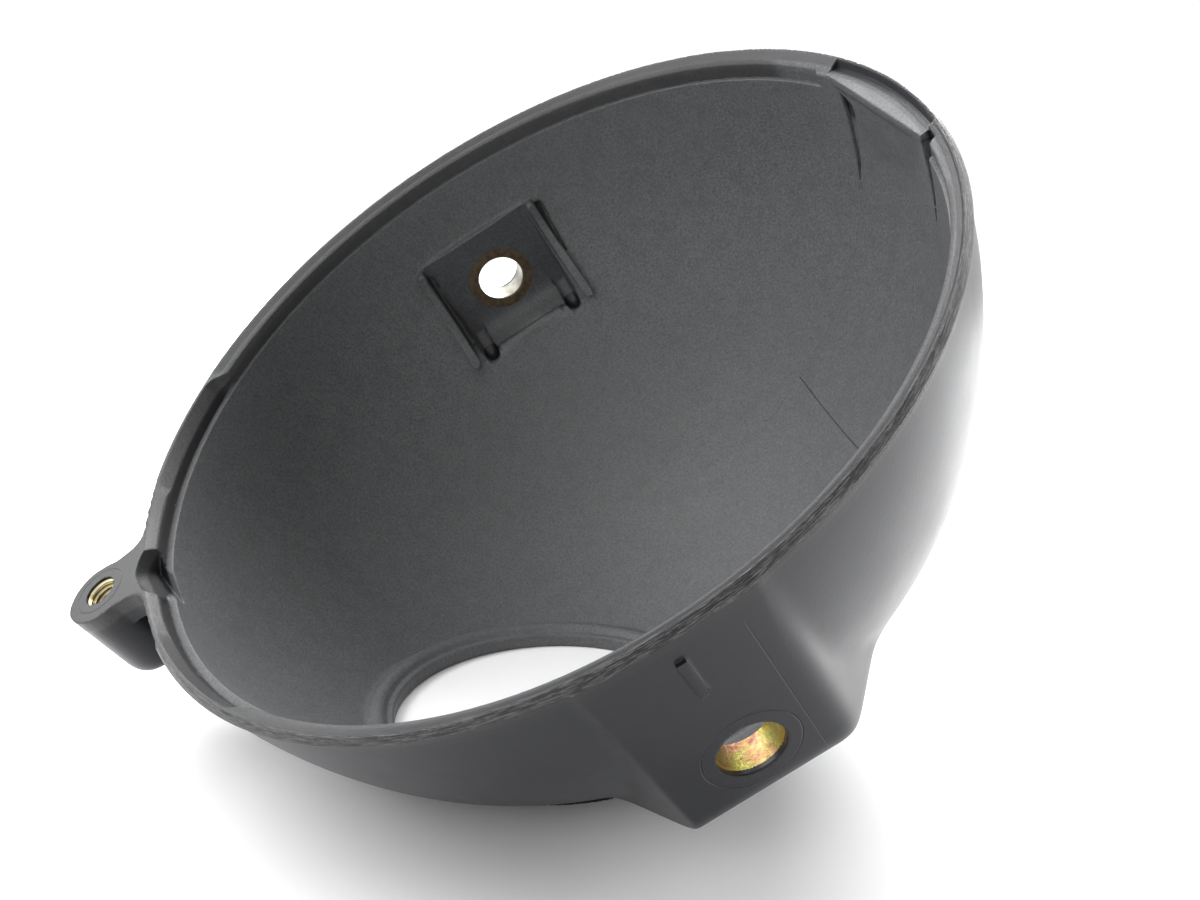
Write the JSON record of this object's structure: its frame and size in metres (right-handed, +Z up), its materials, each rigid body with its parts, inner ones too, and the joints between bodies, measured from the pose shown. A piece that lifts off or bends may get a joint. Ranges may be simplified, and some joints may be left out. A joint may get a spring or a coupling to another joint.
{
  "type": "headlight bucket",
  "caption": "Round moulded plastic headlight bucket with a pivot boss on each side, a threaded adjuster lug and an offset wiring opening at the back.",
  "frame": {"origin": "centre of the wiring opening, in the plane of the flat collar that the part rests on", "axes": "+Z up, along the wiring opening and into the bowl; +X the level direction in which the mouth leans, by 38.8 degrees from +Z; +Y completes the right-handed set"},
  "size_m": [0.1642, 0.18, 0.1413],
  "materials": {
    "shell_plastic": "matt, fine grain inside",
    "sleeve_zinc": "yellow passivated zinc",
    "insert_brass": "turned"
  },
  "bodies": {
    "root": {"bucket_shell": "shell_plastic", "pivot_sleeve_right": "sleeve_zinc", "pivot_sleeve_left": "sleeve_zinc", "adjuster_insert": "insert_brass"}
  },
  "joints": []
}
